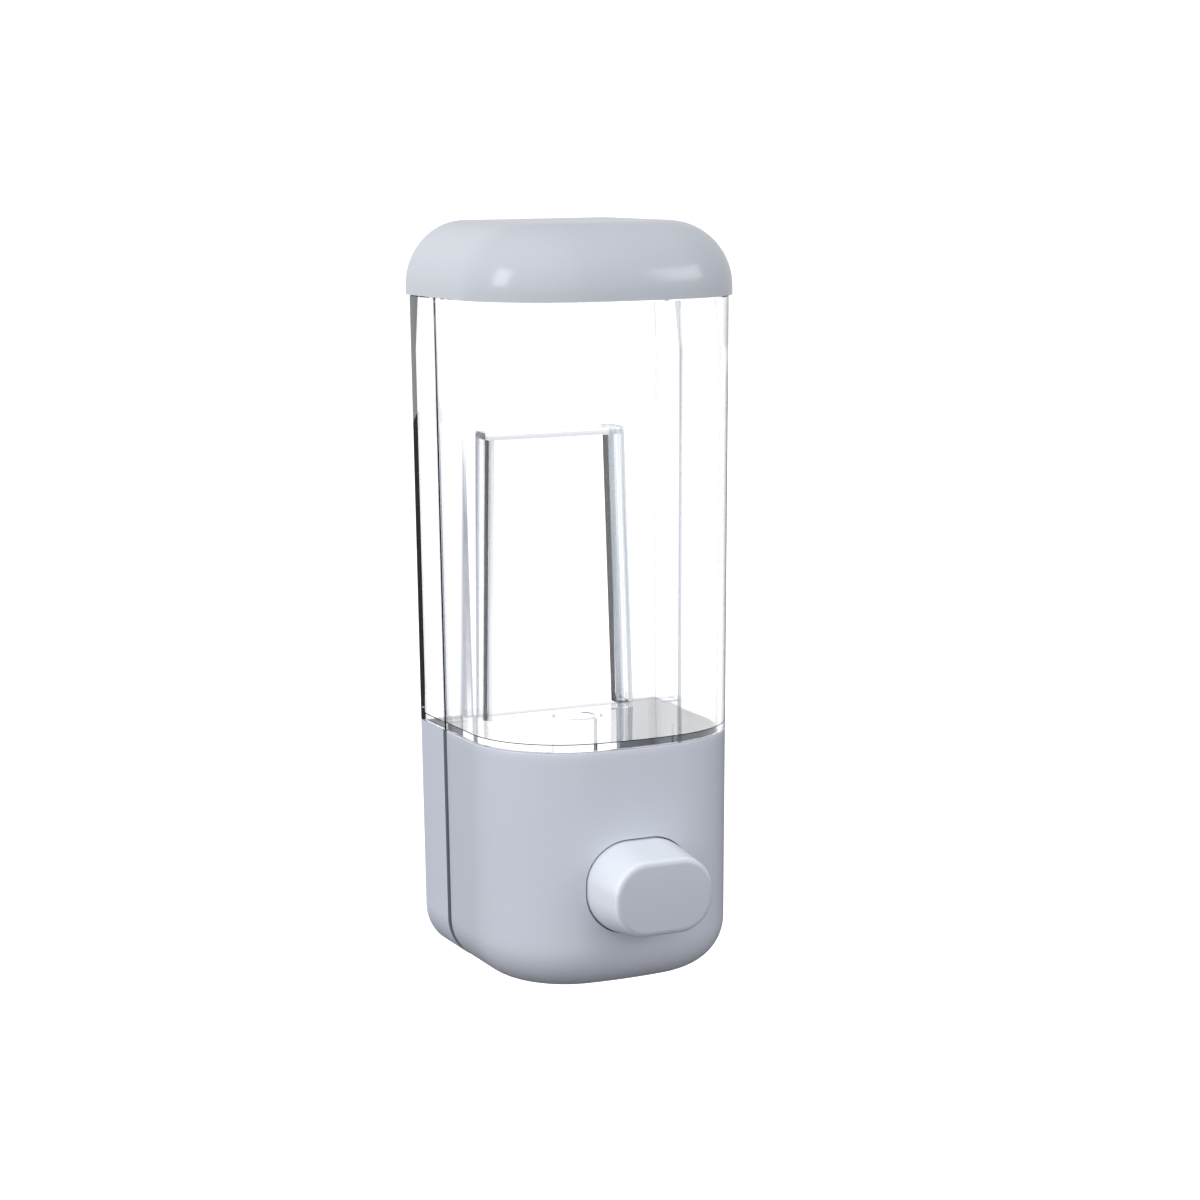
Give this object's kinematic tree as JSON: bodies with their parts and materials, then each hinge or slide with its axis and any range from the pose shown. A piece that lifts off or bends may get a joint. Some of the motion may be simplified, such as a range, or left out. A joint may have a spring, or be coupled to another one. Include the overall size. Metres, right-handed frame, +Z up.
{
  "type": "wall mounted soap dispenser",
  "caption": "Wall mounted push-button soap dispenser with a clear container, rounded lift-off lid, plunger pump and wall bracket.",
  "frame": {"origin": "middle of the wall bracket's face on the wall, between its two screw holes, level with the pump's axis", "axes": "+Z up, -Y out of the wall towards the user, +X to the right as the user sees it"},
  "size_m": [0.0774, 0.08, 0.2062],
  "materials": {
    "abs_shell": "satin moulded cool grey",
    "abs_cover": "satin moulded cool grey",
    "abs_button": "satin moulded cool grey",
    "clear_plastic": "clear polished",
    "white_plastic": "natural white moulded",
    "grey_rubber": "matte",
    "silicone": "translucent matte",
    "steel": "bright"
  },
  "bodies": {
    "bracket": {"wall_bracket": "white_plastic"},
    "dispenser": {"rear_housing": "abs_shell", "front_cover": "abs_cover", "cover_screws": "steel", "container": "clear_plastic", "container_nut": "white_plastic", "pump_body": "white_plastic", "pump_screws": "steel", "duct_plug": "white_plastic", "inlet_seal": "grey_rubber", "inlet_cage": "white_plastic", "outlet_valve": "silicone", "nozzle": "white_plastic", "cylinder_cap": "white_plastic", "return_spring": "steel"},
    "button": {"push_button": "abs_button", "plunger": "white_plastic", "piston_seal": "grey_rubber"},
    "ball": {"inlet_ball": "steel"},
    "lid": {"lid": "abs_shell", "lid_seal": "silicone"}
  },
  "joints": [
    {"name": "dispenser_lift", "type": "slide", "parent": "bracket", "child": "dispenser", "axis": [0, 0, 1], "range_m": [0, 0.055]},
    {"name": "lid_lift", "type": "slide", "parent": "dispenser", "child": "lid", "axis": [0, 0, 1], "range_m": [0, 0.03]},
    {"name": "button_press", "type": "slide", "parent": "dispenser", "child": "button", "axis": [0, 1, 0], "range_m": [0, 0.01], "stiffness_N_per_m": 400, "springref_m": -0.008, "deforming": ["return_spring"]},
    {"name": "ball_lift", "type": "slide", "parent": "dispenser", "child": "ball", "axis": [0, 0, 1], "range_m": [0, 0.0013]}
  ]
}
